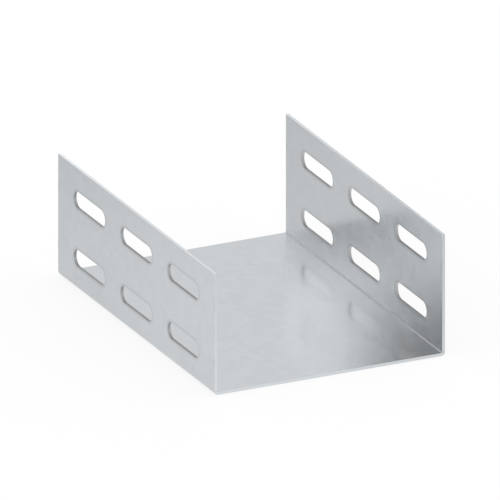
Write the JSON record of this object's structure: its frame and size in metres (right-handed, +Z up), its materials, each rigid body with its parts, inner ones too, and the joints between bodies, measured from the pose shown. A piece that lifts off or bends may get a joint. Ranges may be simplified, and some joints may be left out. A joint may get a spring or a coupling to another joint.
{
  "type": "cable tray splice plate",
  "caption": "U-shaped folded steel splice plate for joining two lengths of cable tray, with rows of bolt slots along both flanges and a plain base.",
  "frame": {"origin": "middle of the base's underside", "axes": "+X along the tray's run towards the open end nearest the camera, +Y across the tray from the flange nearest the camera to the far flange, +Z up"},
  "size_m": [0.14, 0.098, 0.05],
  "materials": {
    "galvanised_steel": "smooth zinc-coated sheet, light grey, with a soft satin sheen"
  },
  "bodies": {
    "root": {"splice_plate": "galvanised_steel"}
  },
  "joints": []
}
